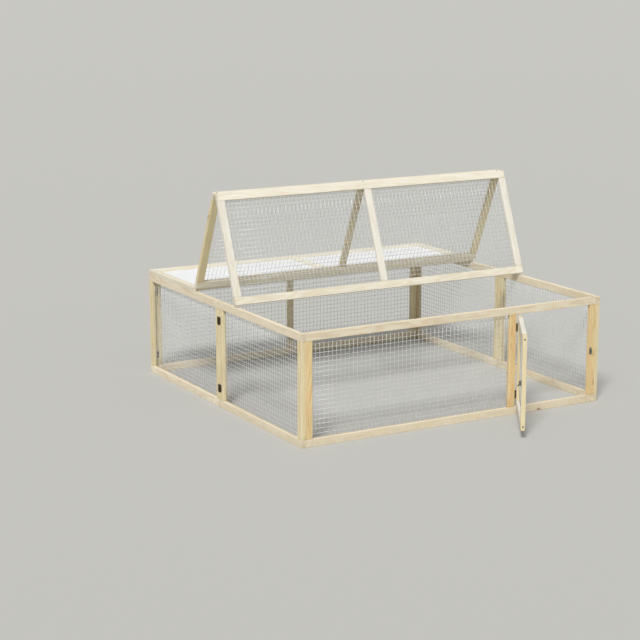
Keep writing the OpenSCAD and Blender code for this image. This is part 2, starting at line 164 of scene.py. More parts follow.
def stile_left(x, z, length):
    """An upright whose outer edge is its left one, at x."""
    return move(x, 0, z + length) @ turn("y", 90)


# ---- Forms ---------------------------------------------------------------------------------------
ARC_POINTS = 4
ARRIS, SAWN = 1.3, 0.7            # rounding of a batten's long edges, bevel of its sawn ends
END_ZONE = 19.0                   # how far the marks count the distance from an end
WIRE_SIDES, WIRE_RINGS = 8, 6
WAVE = (0.15, 0.35)               # how far a wire strays from a straight line
BEAD_R, BEAD_H = 0.92, 1.05
BEAD_SIZES = (0.85, 1.1)          # the zinc beads' sizes, in parts of the usual one
BEAD_CLEAR = 1                    # no bead is this near to the wood
LEAF_ROUND, LEAF_BEVEL = 2.0, 0.25
KNUCKLE_BEVEL = 0.25
TONGUE_PLAY, TONGUE_LAP, TONGUE_ROUND = 0.05, 1, 0.1
KNUCKLE_SIDES, PIN_SIDES, SCREW_SIDES = 24, 20, 16
DOME = ((0, 0), (0.8, 0.06), (1.35, 0.24), (HEAD_R, 0.6))     # radii, and how far below its top
SCREW_PROUD, SCREW_ROOT = 0.25, 0.5
SHOULDER_H, SHOULDER_R = 0.8, 0.86                  # of a screw's dome, in parts of its own
RECESS_POINT, RECESS_WAIST = 0.62, 0.24             # radii of the cross, in parts of the head's
RECESS_DEPTH, RECESS_FLOOR = 0.35, 0.8


class Form:
    """A closed shape: its corners, its faces, which faces are smooth, and its material's marks."""

    def __init__(self, corners, faces, smooth, **marks):
        self.corners = np.asarray(corners, float)
        self.faces, self.smooth, self.marks = faces, smooth, marks


def strips(rows, count):
    """Quads between neighbouring rings of count corners, ring after ring, outward when a ring runs
    anticlockwise about the way the rings go. Face r, i joins corner i and i + 1 of rings r and
    r + 1."""
    r, i = np.meshgrid(np.arange(rows - 1), np.arange(count), indexing="ij")
    j = (i + 1) % count
    quads = np.stack([r * count + i, r * count + j, (r + 1) * count + j, (r + 1) * count + i], -1)
    return quads.reshape(-1, 4)


def skinned(rings, smooth, **marks):
    """Closes a row of rings, shaped (rings, corners, 3), with strips and two end faces. Corners in
    the same place are merged, and faces left without an area are dropped."""
    rings = np.asarray(rings, float)
    rows, count = rings.shape[:2]
    flat = rings.reshape(-1, 3)
    _, first, back = np.unique(np.round(flat, 5), axis=0, return_index=True, return_inverse=True)
    back = back.ravel()
    faces, kept = [], []
    ends = [list(range(count))[::-1], list(range((rows - 1) * count, rows * count))]
    smooth = list(np.tile(smooth, rows - 1)) + [False, False]
    for face, soft in zip(list(strips(rows, count)) + ends, smooth):
        ids = [int(back[i]) for i in face]
        ids = [a for a, b in zip(ids, ids[1:] + ids[:1]) if a != b]
        if len(set(ids)) > 2:
            faces.append(ids)
            kept.append(bool(soft))
    return Form(flat[first], faces, kept, **{k: np.asarray(v)[first] for k, v in marks.items()})


def outline(corners):
    """Points round a section. A corner is (y, z, radius) and gets ARC_POINTS on a quarter circle,
    or is (y, z) and stays one sharp point. Also says which strips lie within an arc."""
    points, soft = [], []
    n = len(corners)
    for k, corner in enumerate(corners):
        p = np.array(corner[:2], float)
        if len(corner) == 2:
            points.append(p)
            soft.append(False)
            continue
        a = p - np.array(corners[k - 1][:2], float)
        b = np.array(corners[(k + 1) % n][:2], float) - p
        a, b, r = a / np.linalg.norm(a), b / np.linalg.norm(b), corner[2]
        for s in range(ARC_POINTS):
            w = math.pi / 2 * s / (ARC_POINTS - 1)
            points.append(p - a * r + b * r + r * (a * math.sin(w) - b * math.cos(w)))
            soft.append(s < ARC_POINTS - 1)
    return np.array(points), soft


def batten(length, cut=None, w=BATTEN_W, t=BATTEN_T, arris=ARRIS, sawn=SAWN):
    """A planed batten or board along x: its section is drawn along the length, shrunk by sawn at
    both ends, and has a groove between cut[0] and cut[1], or all along it. The mark spot is the
    place in the batten and near is the distance from the nearer end, up to END_ZONE."""
    corners = [(0, 0, arris), (t, 0, arris), (t, w, arris), (0, w, arris)]
    full, soft = outline(corners)

    def grooved(z):
        """The section with its groove cut down to z. At w the groove has no depth."""
        groove = [(GROOVE[1], w), (GROOVE[1], z), (GROOVE[0], z), (GROOVE[0], w)]
        return outline(corners[:3] + groove + corners[3:])

    if cut:
        (full, soft), (deep, _) = grooved(w), grooved(w - SEAT)
    zone = min(END_ZONE, length / 2)
    if cut is None or cut == "through":
        body = deep if cut else full
        stations = [(0, body), (sawn, body), (zone, body), (length - zone, body),
                    (length - sawn, body), (length, body)]
    else:
        a, b = cut
        stations = [(0, full), (sawn, full), (a, full), (a, deep), (b, deep), (b, full),
                    (length - sawn, full), (length, full)]
    rings, near = [], []
    middle = np.array([t, w]) / 2
    for x, yz in stations:
        if x in (0, length):
            yz = middle + (yz - middle) * (1 - sawn / middle)
        rings.append(np.column_stack([np.full(len(yz), x), yz]))
        near.append(np.full(len(yz), min(x, length - x, END_ZONE)))
    rings = np.array(rings)
    return skinned(rings, soft, spot=rings.reshape(-1, 3) / MM_PER_M, near=np.ravel(near))


def wire_places(a, b):
    """As many places as fit between a and b, PITCH apart, with equal ends."""
    n = math.floor((b - a) / PITCH)
    return (a + b - n * PITCH) / 2 + PITCH * np.arange(n + 1)


def wires(places, a, b, y, upright, rng):
    """Round wires from a to b at each of the places. Each is a tube of rings whose middles leave
    the straight line in a slow wave of its own, and not at its ends."""
    n, sides, rings = len(places), WIRE_SIDES, WIRE_RINGS
    s = np.linspace(0, 1, rings)
    stray = rng.uniform(*WAVE, (n, 1))
    half_waves = rng.integers(1, 4, (n, 1))
    wave = stray * np.sin(math.pi * s * half_waves) * rng.choice([-1, 1], (n, 1))
    angle = 2 * math.pi * np.arange(sides) / sides
    ring = np.array([np.cos(angle), np.sin(angle)]) * WIRE_R
    corners = np.empty((n, rings, sides, 3))
    along = (a + (b - a) * s)[None, :, None]
    side = (places[:, None] + wave)[:, :, None]
    if upright:
        corners[..., 2] = along
        corners[..., 0] = side + ring[0]
        corners[..., 1] = y + ring[1]
    else:
        corners[..., 0] = along
        corners[..., 1] = y + ring[0]
        corners[..., 2] = side + ring[1]
    step = rings * sides
    first = (np.arange(n) * step)[:, None, None]
    quads = (strips(rings, sides)[None] + first).reshape(-1, 4)
    starts = (np.arange(sides)[::-1][None] + first[:, 0]).reshape(n, sides)
    stops = (np.arange(step - sides, step)[None] + first[:, 0]).reshape(n, sides)
    faces = quads.tolist() + starts.tolist() + stops.tolist()
    smooth = [True] * len(quads) + [False] * (2 * n)
    return Form(corners.reshape(-1, 3), faces, smooth, weld=np.zeros(corners.size // 3))


def welds(xs, zs, y, rng):
    """A blob of zinc at each crossing: an eight-sided bead with its points between the wires, each
    of a slightly different size."""
    x, z = (a.ravel() for a in np.meshgrid(xs, zs))
    size = rng.uniform(*BEAD_SIZES, (len(x), 1))
    d, h = BEAD_R, BEAD_H
    bead = np.array([(d, 0, d), (-d, 0, d), (-d, 0, -d), (d, 0, -d), (0, h, 0), (0, -h, 0)])
    corners = bead[None] * size[:, :, None] + np.stack([x, np.full(len(x), y), z], -1)[:, None]
    tris = np.array([(1, 0, 4), (2, 1, 4), (3, 2, 4), (0, 3, 4),
                     (0, 1, 5), (1, 2, 5), (2, 3, 5), (3, 0, 5)])
    faces = (tris[None] + 6 * np.arange(len(x))[:, None, None]).reshape(-1, 3).tolist()
    return Form(corners.reshape(-1, 3), faces, [True] * len(faces), weld=np.ones(6 * len(x)))


def mesh_sheet(x0, x1, z0, z1, rng):
    """Welded wire over an opening: upright wires outside, and level ones welded on behind them."""
    inset = MESH_REACH - WIRE_R
    xs, zs = wire_places(x0 - inset, x1 + inset), wire_places(z0 - inset, z1 + inset)
    y = GROOVE[0] + WIRE_R
    seen_x = xs[(xs > x0 + BEAD_CLEAR) & (xs < x1 - BEAD_CLEAR)]
    seen_z = zs[(zs > z0 + BEAD_CLEAR) & (zs < z1 - BEAD_CLEAR)]
    return [wires(xs, z0 - MESH_REACH, z1 + MESH_REACH, y, True, rng),
            wires(zs, x0 - MESH_REACH, x1 + MESH_REACH, y + 2 * WIRE_R, False, rng),
            welds(seen_x, seen_z, y + WIRE_R, rng)]


def turned(profile, sides, hollow=False):
    """A turned form about z from its profile of (radius, height), going up on the outside. A hollow
    one's profile closes on itself and leaves a bore."""
    angle = 2 * math.pi * np.arange(sides) / sides
    r, z = np.array(profile, float).T
    rings = np.stack([r[:, None] * np.cos(angle), r[:, None] * np.sin(angle),
                      np.repeat(z[:, None], sides, 1)], -1)
    if not hollow:
        return skinned(rings, [True] * sides)
    faces = strips(len(r), sides).tolist()
    last = (len(r) - 1) * sides
    faces += [[last + i, last + (i + 1) % sides, (i + 1) % sides, i] for i in range(sides)]
    return Form(rings.reshape(-1, 3), faces, [True] * len(faces))


def leaf(middle=False, w=LEAF_W, bore=PIN_BORE, seat=KNUCKLE_R):
    """A hinge leaf on the wood at y = -seat: a plate and its knuckles, the middle one or the two
    outer ones, each a tube about z that is joined to the plate by a short tongue."""
    h = HINGE_H / 2

    def plate(x0, x1, z0, z1, round_x1):
        """A flat plate with its corners at x1 rounded: the outline at its back and at the bevel's
        foot, and drawn in at its face."""
        shape, soft = outline([(z0, x0), (z0, x1, round_x1), (z1, x1, round_x1), (z1, x0)][::-1])
        mid = np.array([(z0 + z1) / 2, (x0 + x1) / 2])
        half = np.array([(z1 - z0) / 2, (x1 - x0) / 2])
        rings = []
        for y, inset in ((-seat, 0), (LEAF_T - seat - LEAF_BEVEL, 0), (LEAF_T - seat, LEAF_BEVEL)):
            zx = mid + (shape - mid) * (1 - inset / half)
            rings.append(np.column_stack([zx[:, 1], np.full(len(zx), y), zx[:, 0]]))
        return skinned(rings, soft)

    forms = [plate(LEAF_X, w, -h, h, LEAF_ROUND)]
    step, edge = KNUCKLE_L + KNUCKLE_GAP, KNUCKLE_R - KNUCKLE_BEVEL
    for z in ([0] if middle else [-step, step]):
        a, b = z - KNUCKLE_L / 2, z + KNUCKLE_L / 2
        profile = [(bore, a), (edge, a), (KNUCKLE_R, a + KNUCKLE_BEVEL),
                   (KNUCKLE_R, b - KNUCKLE_BEVEL), (edge, b), (bore, b)]
        forms.append(turned(profile, KNUCKLE_SIDES, hollow=True))
        forms.append(plate(bore + TONGUE_PLAY, LEAF_X + TONGUE_LAP, a, b, TONGUE_ROUND))
    return forms


def pin():
    """A hinge pin with two domed heads: its upper half's profile and the mirror image, turned."""
    h, top = HINGE_H / 2, HINGE_H / 2 + HEAD_H
    upper = [(r, top - below) for r, below in DOME] + [(HEAD_R, h), (PIN_R, h)]
    return turned([(r, -z) for r, z in upper] + upper[::-1], PIN_SIDES)


def screw(r, proud=SCREW_PROUD):
    """A screw's head, looking along +y: a low dome with a cross-shaped recess, made by drawing the
    ring in to a four-pointed star and down."""
    step = np.arange(SCREW_SIDES)
    angle = 2 * math.pi * step / SCREW_SIDES
    star = r * np.where(step % 4 == 0, RECESS_POINT, RECESS_WAIST)
    rows = [(-SCREW_ROOT, r), (0.0, r), (proud * SHOULDER_H, r * SHOULDER_R), (proud, star),
            (-RECESS_DEPTH, star * RECESS_FLOOR)]
    rings = [np.column_stack([radius * np.sin(angle), np.full(SCREW_SIDES, y),
                              radius * np.cos(angle)]) for y, radius in rows]
    return skinned(rings, [True] * SCREW_SIDES)


# ---- Pieces --------------------------------------------------------------------------------------
def add(name, data):
    """Puts a new object with this mesh, light or camera into the scene."""
    thing = bpy.data.objects.new(name, data)
    bpy.context.scene.collection.objects.link(thing)
    return thing


def make(name, body, material, placed, seed, nodes=()):
    """Joins placed forms, each a (place, form), into one piece that rides on a body and stands for
    CAD nodes. Every form gets its own three random numbers as the mark own."""
    rng = np.random.default_rng(seed)
    corners, faces, smooth, marks, start = [], [], [], {}, 0
    for place, form in placed:
        n = len(form.corners)
        corners.append(form.corners @ place[:3, :3].T + place[:3, 3])
        order = -1 if np.linalg.det(place[:3, :3]) < 0 else 1
        faces += [[i + start for i in face][::order] for face in form.faces]
        smooth += form.smooth
        own = np.tile(rng.random(3), (n, 1))
        for key, value in dict(form.marks, own=own).items():
            marks.setdefault(key, []).append(value)
        start += n
    mesh = bpy.data.meshes.new(name)
    mesh.from_pydata(np.concatenate(corners).tolist(), [], faces)
    mesh.polygons.foreach_set("use_smooth", smooth)
    for key, values in marks.items():
        values = np.concatenate(values)
        kind, field = ("FLOAT_VECTOR", "vector") if values.ndim == 2 else ("FLOAT", "value")
        mesh.attributes.new(key, kind, "POINT").data.foreach_set(field, values.ravel())
    mesh.materials.append(material)
    mesh.update()
    piece = add(name, mesh)
    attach(piece, body)
    if nodes:
        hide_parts(*nodes)


# ---- Materials -----------------------------------------------------------------------------------
class Net:
    """Short calls for the nodes of one tree. A value may be a number, a colour or a socket."""

    def __init__(self, tree):
        self.tree = tree

    def node(self, kind, inputs=None, **settings):
        n = self.tree.nodes.new(kind)
        for key, value in settings.items():
            setattr(n, key, value)
        for key, value in (inputs or {}).items():
            if isinstance(value, bpy.types.NodeSocket):
                self.tree.links.new(value, n.inputs[key])
            else:
                n.inputs[key].default_value = value
        return n

    def calc(self, operation, *values, clamp=False):
        n = self.node("ShaderNodeMath", dict(enumerate(values)), operation=operation,
                      use_clamp=clamp)
        return n.outputs[0]

    def times(self, a, b):
        return self.calc("MULTIPLY", a, b)

    def vector(self, operation, *values, out=0):
        n = self.node("ShaderNodeVectorMath", dict(enumerate(values)), operation=operation)
        return n.outputs[out]

    def fade(self, value, low, high, to_low=0.0, to_high=1.0):
        """A smooth step of value from low to high."""
        return self.node("ShaderNodeMapRange", {"Value": value, "From Min": low, "From Max": high,
                                                "To Min": to_low, "To Max": to_high},
                         interpolation_type="SMOOTHSTEP").outputs[0]

    def tint(self, amount, a, b, blend="MIX"):
        n = self.node("ShaderNodeMix", {0: amount, 6: a, 7: b}, data_type="RGBA", blend_type=blend)
        return n.outputs[2]

    def noise(self, where, scale, detail):
        return self.node("ShaderNodeTexNoise", {"Vector": where, "Scale": scale, "Detail": detail,
                                                "Roughness": NOISE_ROUGH}).outputs["Fac"]

    def grain(self, where, sizes, detail):
        """Noise whose blotches have these sizes along x, y and z, in the unit of where."""
        return self.noise(self.vector("MULTIPLY", where, tuple(1 / s for s in sizes)), 1.0, detail)

    def mark(self, name, out="Vector"):
        return self.node("ShaderNodeAttribute", attribute_name=name).outputs[out]

    def place(self):
        return self.node("ShaderNodeTexCoord").outputs["Object"]

    def spot(self, shift):
        """The place in the batten or board in mm, unmoved and moved by its own share of shift, so
        that no two pieces are cut from the same wood."""
        n = self.node("ShaderNodeVectorMath", {0: self.mark("spot"), "Scale": MM_PER_M},
                      operation="SCALE")
        own = self.vector("MULTIPLY", self.mark("own"), shift)
        return n.outputs[0], self.vector("ADD", n.outputs[0], own)


LOOK = {"Color": "Color", "Roughness": "Float", "Height": "Float"}
NOISE_ROUGH = 0.55


def group(name, inputs):
    """A new node group that puts out a LOOK. Returns its net, its inputs and its outputs."""
    tree = bpy.data.node_groups.new(name, "ShaderNodeTree")
    for key, kind in inputs.items():
        tree.interface.new_socket(key, in_out="INPUT", socket_type="NodeSocket" + kind)
    for key, kind in LOOK.items():
        tree.interface.new_socket(key, in_out="OUTPUT", socket_type="NodeSocket" + kind)
    net = Net(tree)
    return net, net.node("NodeGroupInput").outputs, net.node("NodeGroupOutput").inputs


def put_out(net, out, *look):
    """Links the colour, roughness and height of a group to its outputs, and returns its tree."""
    for key, value in zip(LOOK, look):
        net.tree.links.new(value, out[key])
    return net.tree


# Softwood. Lengths are in mm along the batten, over its thickness and over its width. Knots are
# measured in cells. A fade's numbers are where it begins and ends, then from what to what it goes.
WOOD_SHIFT = (7000, 900, 900)
KNOT_CELL, KNOT_GRAIN, KNOT_RAGGED = (75, 34, 34), (5, 4, 4), 0.05
HEART, RIM_INSIDE, RIM_OUTSIDE, HALO = (0.17, 0.14), (0.135, 0.16), (0.2, 0.165), (0.55, 0.1)
HEART_SHARE, RIM_SHARE, HALO_SHARE = 0.85, 0.7, 0.35
KNOT_BROWN, KNOT_DARK = (0.42, 0.26, 0.12, 1), (0.23, 0.135, 0.06, 1)
PITH_LEAN, PITH_Y, PITH_Z = (0.06, -0.03), (60, 14), (70, -50)   # each a range and its start
SLOW_GRAIN, RINGS_STRAY, RINGS_PUSHED = (260, 45, 45), 26, 7     # strays by noise, knots push
LATE_WOOD, YEAR_END = (0.3, 0.9), (1.0, 0.93)                    # in parts of a year
LATE_SHARE, FAINT_YEARS = 0.8, (0.2, 0.75, 0.5, 1.0)
FIBRE_GRAIN, FIBRES, FIBRE_PALE = (28, 2 / 3, 2 / 3), (0.35, 0.7, 0, 0.16), (1.0, 0.93, 0.78, 1)
STREAK_GRAIN, STREAKS = (160, 3.5, 3.5), (0.42, 0.75, 0, 0.3)
BLOTCH_GRAIN, BLOTCHES = (120, 20, 20), (0.25, 0.75, 0.95, 1.05)
TONE, WARMTH = (0.1, 0.92), (1.15, 1.6)                          # green and blue as powers of tone
SOAK_DEPTH, SOAKED, SOAKED_SHARE = 9.0, (0.42, 0.31, 0.18, 1), 0.35
# edges tinted pale along the arrises: partly rubbed wear, partly a painted highlight
WORN_HIGHLIGHT_RIM, WORN_HIGHLIGHT, WORN_HIGHLIGHT_SHARE = (1.6, 0.6), (0.88, 0.83, 0.72, 1), 0.5
# the foot of the run is drawn darker and greener, up to FOOT_Z
FOOT_Z, FOOT_DARKENING = 0.03, (0.2, 0.19, 0.09, 1)                  # the height is in metres
SPECKS = 90.0                                                    # to the metre
SOAKED_PATCHES, WORN_HIGHLIGHT_PATCHES, FOOT_PATCHES = (0.3, 0.7), (0.4, 0.65), (0.35, 0.65)
FIBRE_ROUGH, KNOT_GLOSS = (0.22, 0.5), 0.15
FIBRE_RAISED, LATE_RAISED, KNOT_RAISED = 0.7, 0.35, 0.3


def wood_group():
    """Planed softwood. Growth rings are the distance from a pith that lies outside the batten and
    wanders along it; knots are sparse cells that push the rings aside; fibres are noise drawn out
    along the batten. Use has darkened the ends. The edges are tinted pale, partly as rubbed wear
    and partly as a painted highlight, and the foot of the run is drawn darker and greener."""
    net, given, out = group("softwood", {
        "Early": "Color", "Late": "Color", "Ring": "Float", "Knots": "Float", "Stain": "Float"})
    mm, shifted = net.spot(WOOD_SHIFT)
    pick = net.node("ShaderNodeSeparateXYZ", {0: net.mark("own")}).outputs
    pos = net.node("ShaderNodeSeparateXYZ", {0: mm}).outputs

    # knots: only a share of the cells has one
    cells = net.vector("MULTIPLY", shifted, tuple(1 / s for s in KNOT_CELL))
    knot = net.node("ShaderNodeTexVoronoi", {"Vector": cells, "Scale": 1.0}, feature="F1").outputs
    chance = net.node("ShaderNodeSeparateColor", {0: knot["Color"]}).outputs[0]
    some = net.calc("LESS_THAN", chance, given["Knots"])
    ragged = net.times(net.grain(shifted, KNOT_GRAIN, 2.0), KNOT_RAGGED)
    from_knot = net.calc("ADD", knot["Distance"], ragged)
    heart = net.times(net.fade(from_knot, *HEART), some)
    rim = net.times(net.fade(from_knot, *RIM_INSIDE), net.fade(from_knot, *RIM_OUTSIDE))
    rim = net.times(rim, some)
    halo = net.times(net.fade(from_knot, *HALO), some)

    # growth rings: radius is the distance from the pith
    slow = net.grain(shifted, SLOW_GRAIN, 2.0)
    lean = net.times(pos[0], net.calc("MULTIPLY_ADD", pick[2], *PITH_LEAN))
    across_y = net.calc("ADD", net.calc("ADD", pos[1], lean),
                        net.calc("MULTIPLY_ADD", pick[0], *PITH_Y))
    across_z = net.calc("ADD", pos[2], net.calc("MULTIPLY_ADD", pick[1], *PITH_Z))
    across = net.node("ShaderNodeCombineXYZ", {1: across_y, 2: across_z}).outputs[0]
    radius = net.vector("LENGTH", across, out=1)
    radius = net.calc("ADD", radius, net.times(slow, RINGS_STRAY))
    radius = net.calc("ADD", radius, net.times(halo, RINGS_PUSHED))
    year = net.calc("FRACT", net.calc("DIVIDE", radius, given["Ring"]))
    late = net.times(net.fade(year, *LATE_WOOD), net.fade(year, *YEAR_END))
    late = net.times(late, net.fade(slow, *FAINT_YEARS))

    # late wood, sheen streaks and pale fibres
    fibre = net.grain(shifted, FIBRE_GRAIN, 3.0)
    streak = net.grain(shifted, STREAK_GRAIN, 3.0)
    colour = net.tint(net.times(late, LATE_SHARE), given["Early"], given["Late"])
    colour = net.tint(net.fade(streak, *STREAKS), colour, given["Late"])
    colour = net.tint(net.fade(fibre, *FIBRES), colour, FIBRE_PALE)

    # each batten has its own blotchy tone, and a darker one is warmer
    tone = net.calc("MULTIPLY_ADD", pick[0], *TONE)
    tone = net.times(tone, net.fade(net.grain(shifted, BLOTCH_GRAIN, 2.0), *BLOTCHES))
    green, blue = (net.calc("POWER", tone, power) for power in WARMTH)
    warm = net.node("ShaderNodeCombineColor", {0: tone, 1: green, 2: blue}).outputs[0]
    colour = net.tint(1.0, colour, warm, "MULTIPLY")
    colour = net.tint(net.times(halo, HALO_SHARE), colour, given["Late"])
    colour = net.tint(net.times(heart, HEART_SHARE), colour, KNOT_BROWN)
    colour = net.tint(net.times(rim, RIM_SHARE), colour, KNOT_DARK)

    # use: soaked ends, edges tinted pale as rubbed wear and as a painted highlight, and a darker,
    # greener foot
    speck = net.noise(net.place(), SPECKS, 3.0)
    soaked = net.times(net.fade(net.mark("near", "Fac"), SOAK_DEPTH, 0.0),
                       net.fade(speck, *SOAKED_PATCHES))
    colour = net.tint(net.times(soaked, SOAKED_SHARE), colour, SOAKED)
    # painted highlight: the arrises are tinted pale, partly as rubbed wear and partly for the light
    # they catch
    edge_y = net.calc("MINIMUM", pos[1], net.calc("SUBTRACT", BATTEN_T, pos[1]))
    edge_z = net.calc("MINIMUM", pos[2], net.calc("SUBTRACT", BATTEN_W, pos[2]))
    worn_highlight = net.times(net.fade(net.calc("MAXIMUM", edge_y, edge_z), *WORN_HIGHLIGHT_RIM),
                       net.fade(speck, *WORN_HIGHLIGHT_PATCHES))
    colour = net.tint(net.times(worn_highlight, WORN_HIGHLIGHT_SHARE), colour, WORN_HIGHLIGHT)
    height = net.node("ShaderNodeSeparateXYZ", {0: net.place()}).outputs[2]
    foot = net.times(net.fade(height, FOOT_Z, 0.0), net.fade(speck, *FOOT_PATCHES))
    colour = net.tint(net.times(foot, given["Stain"]), colour, FOOT_DARKENING)

    rough = net.calc("MULTIPLY_ADD", fibre, *FIBRE_ROUGH)
    rough = net.calc("SUBTRACT", rough, net.times(heart, KNOT_GLOSS))
    raised = net.calc("ADD", net.times(fibre, FIBRE_RAISED), net.times(late, LATE_RAISED))
    raised = net.calc("ADD", raised, net.times(heart, KNOT_RAISED))
    return put_out(net, out, colour, rough, raised)


# Paint, wire and metal: the numbers of a fade are as for softwood.
PAINT_SHIFT, BRUSH_GRAIN, CLOUD_GRAIN = (5000, 100, 5000), (90, 1, 1.6), (130, 130, 90)
PAINT, PAINT_STREAK = (0.84, 0.85, 0.87, 1), (0.79, 0.80, 0.82, 1)
PAINT_CLOUD, PAINT_DIRT = (0.74, 0.745, 0.76, 1), (0.52, 0.50, 0.44, 1)
BRUSHED, CLOUDED, PAINT_ROUGH = (0.35, 0.7), (0.45, 0.8, 0, 0.5), (0.2, 0.8, 0.55, 0.75)
GRIT, GRITTY = 0.7, (0.55, 0.75)                                 # specks to the mm
RAIN_DIRT = (0.4, 0.12)                                          # at the edges, and everywhere


def paint_group():
    """White paint brushed onto a board: fine streaks along it, a few dull clouds and faint dirt
    that the rain has left towards the edges."""
    net, _, out = group("white_paint", {})
    _, mm = net.spot(PAINT_SHIFT)
    brush = net.grain(mm, BRUSH_GRAIN, 4.0)
    cloud = net.grain(mm, CLOUD_GRAIN, 4.0)
    grit = net.noise(mm, GRIT, 2.0)
    rain = net.fade(net.mark("near", "Fac"), END_ZONE, 0.0)
    colour = net.tint(net.fade(brush, *BRUSHED), PAINT, PAINT_STREAK)
    colour = net.tint(net.fade(cloud, *CLOUDED), colour, PAINT_CLOUD)
    dirt = net.times(net.fade(grit, *GRITTY), net.calc("MULTIPLY_ADD", rain, *RAIN_DIRT))
    colour = net.tint(dirt, colour, PAINT_DIRT)
    return put_out(net, out, colour, net.fade(cloud, *PAINT_ROUGH), brush)


ZINC, ZINC_DULL = (0.76, 0.77, 0.77, 1), (0.62, 0.64, 0.65, 1)
ZINC_DRAGGED, ZINC_WELD = (0.86, 0.87, 0.86, 1), (0.5, 0.51, 0.51, 1)
ZINC_CLOUDS, ZINC_DRAGS = 45.0, 420.0                             # to the metre
DULL_PATCHES, DRAGGED_PATCHES = (0.35, 0.7), (0.5, 0.75, 0, 0.4)
ZINC_ROUGH, WELD_SHARE, WELD_ROUGH = (0.3, 0.7, 0.34, 0.52), 0.4, 0.12


def zinc_group():
    """Galvanised wire: pale grey, cloudy from dull oxide, brighter where it was dragged, and dull
    and a little darker on the welds."""
    net, _, out = group("zinc", {})
    where = net.place()
    cloud = net.noise(where, ZINC_CLOUDS, 3.0)
    fine = net.noise(where, ZINC_DRAGS, 2.0)
    weld = net.mark("weld", "Fac")
    colour = net.tint(net.fade(cloud, *DULL_PATCHES), ZINC, ZINC_DULL)
    colour = net.tint(net.fade(fine, *DRAGGED_PATCHES), colour, ZINC_DRAGGED)
    colour = net.tint(net.times(weld, WELD_SHARE), colour, ZINC_WELD)
    rough = net.calc("ADD", net.fade(cloud, *ZINC_ROUGH), net.times(weld, WELD_ROUGH))
    return put_out(net, out, colour, rough, fine)


MOTTLES, SCUFFS, DUST_PATCHES = 160.0, 620.0, 75.0                # to the metre
MOTTLE_DARK, MOTTLE_SHARE = (0.01, 0.01, 0.01, 1), 0.35
MOTTLED, SCUFFED, DUSTY = (0.3, 0.7), (0.6, 0.72), (0.5, 0.8, 0, 0.35)
METAL_ROUGH, SCUFF_SHARE, SCUFF_GLOSS = (0.3, 0.7, 0.42, 0.6), 0.7, 0.15
SCUFF_DRAWN = (1, 1, 0.3)                                         # scuffs run upwards


def metal_group():
    """Small pressed metal: a finish that is mottled, scuffed through to a brighter tone in specks,
    and dusty in patches."""
    net, given, out = group("fitting", {"Finish": "Color", "Scuff": "Color", "Dust": "Color"})
    where = net.place()
    mottle = net.noise(where, MOTTLES, 4.0)
    scuff = net.noise(net.vector("MULTIPLY", where, SCUFF_DRAWN), SCUFFS, 3.0)
    patch = net.noise(where, DUST_PATCHES, 3.0)
    dark = net.tint(MOTTLE_SHARE, given["Finish"], MOTTLE_DARK)
    colour = net.tint(net.fade(mottle, *MOTTLED), given["Finish"], dark)
    worn = net.fade(scuff, *SCUFFED)
    colour = net.tint(net.times(worn, SCUFF_SHARE), colour, given["Scuff"])
    colour = net.tint(net.fade(patch, *DUSTY), colour, given["Dust"])
    rough = net.calc("SUBTRACT", net.fade(mottle, *METAL_ROUGH), net.times(worn, SCUFF_GLOSS))
    return put_out(net, out, colour, rough, mottle)


BUMP_STRENGTH = 0.5


def surface(name, look, bump, metallic=0.0, gloss=0.5, **given):
    """A material whose colour, roughness and bump come from a group; bump is its depth in mm."""
    material = bpy.data.materials.new(name)
    material.use_nodes = True
    tree = material.node_tree
    shader = tree.nodes["Principled BSDF"]
    shader.inputs["Metallic"].default_value = metallic
    shader.inputs["Specular IOR Level"].default_value = gloss
    use = tree.nodes.new("ShaderNodeGroup")
    use.node_tree = look
    for key, value in given.items():
        use.inputs[key].default_value = value
    raised = tree.nodes.new("ShaderNodeBump")
    raised.inputs["Strength"].default_value = BUMP_STRENGTH
    raised.inputs["Distance"].default_value = bump / MM_PER_M
    tree.links.new(use.outputs["Color"], shader.inputs["Base Color"])
    tree.links.new(use.outputs["Roughness"], shader.inputs["Roughness"])
    tree.links.new(use.outputs["Height"], raised.inputs["Height"])
    tree.links.new(raised.outputs["Normal"], shader.inputs["Normal"])
    return material


def pine(name, early, late, ring, knots, bump=0.25, foot_darkening=0.15):
    """Softwood with the colours of its early and late wood, the mm from ring to ring, the share of
    cells with a knot, and how much darker and greener its foot is drawn."""
    return surface(name, softwood, bump, Early=(*early, 1), Late=(*late, 1), Ring=ring,
                   Knots=knots, Stain=foot_darkening)


def fitting(name, metallic, bump, finish, scuff, dust):
    """Pressed metal with the colours of its finish, its scuffs and its dust."""
    return surface(name, metal, bump, metallic, Finish=(*finish, 1), Scuff=(*scuff, 1),
                   Dust=(*dust, 1))


softwood, metal = wood_group(), metal_group()
PINE = pine("pine", (0.76, 0.67, 0.42), (0.64, 0.48, 0.25), 4.6, 0.07)
PALE_PINE = pine("pale_pine", (0.81, 0.74, 0.57), (0.73, 0.56, 0.39), 4.2, 0.04)
KNOTTY_PINE = pine("knotty_pine", (0.75, 0.58, 0.29), (0.66, 0.40, 0.16), 3.8, 0.4)
# Paler roof pine: partly the wood's own pale tone, partly painted sunlight, whitened like the
# sunlit roof
PALE_SUNLIT_ROOF_PINE = pine("roof_pine", (0.78, 0.745, 0.63), (0.70, 0.61, 0.45), 4.0, 0.015, 0.2, 0.0)
